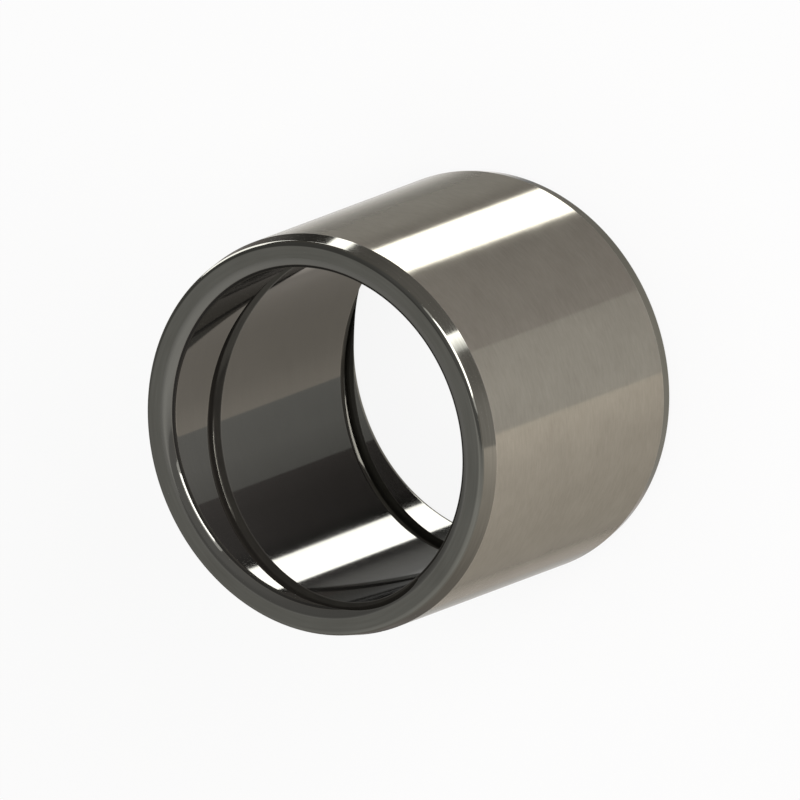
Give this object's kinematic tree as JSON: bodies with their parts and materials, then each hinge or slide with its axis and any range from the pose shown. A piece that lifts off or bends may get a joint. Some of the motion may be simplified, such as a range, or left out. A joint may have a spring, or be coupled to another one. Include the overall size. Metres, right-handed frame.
{
  "type": "bushing",
  "caption": "Plain cylindrical steel bushing with tapered lead-in ends, rounded bore mouths and a spiral grease groove in the bore.",
  "frame": {"origin": "centre of the lower end face, on the bushing's axis", "axes": "+Z along the axis towards the end with the longer lead-in taper, which is the end that faces the viewer in the picture; the groove's middle leaves the lower end face's plane at 39 degrees from +X towards +Y"},
  "size_m": [0.095, 0.095, 0.0786],
  "materials": {
    "steel": "hardened steel, ground and polished, lightly oiled"
  },
  "bodies": {
    "root": {"bushing": "steel"}
  },
  "joints": []
}
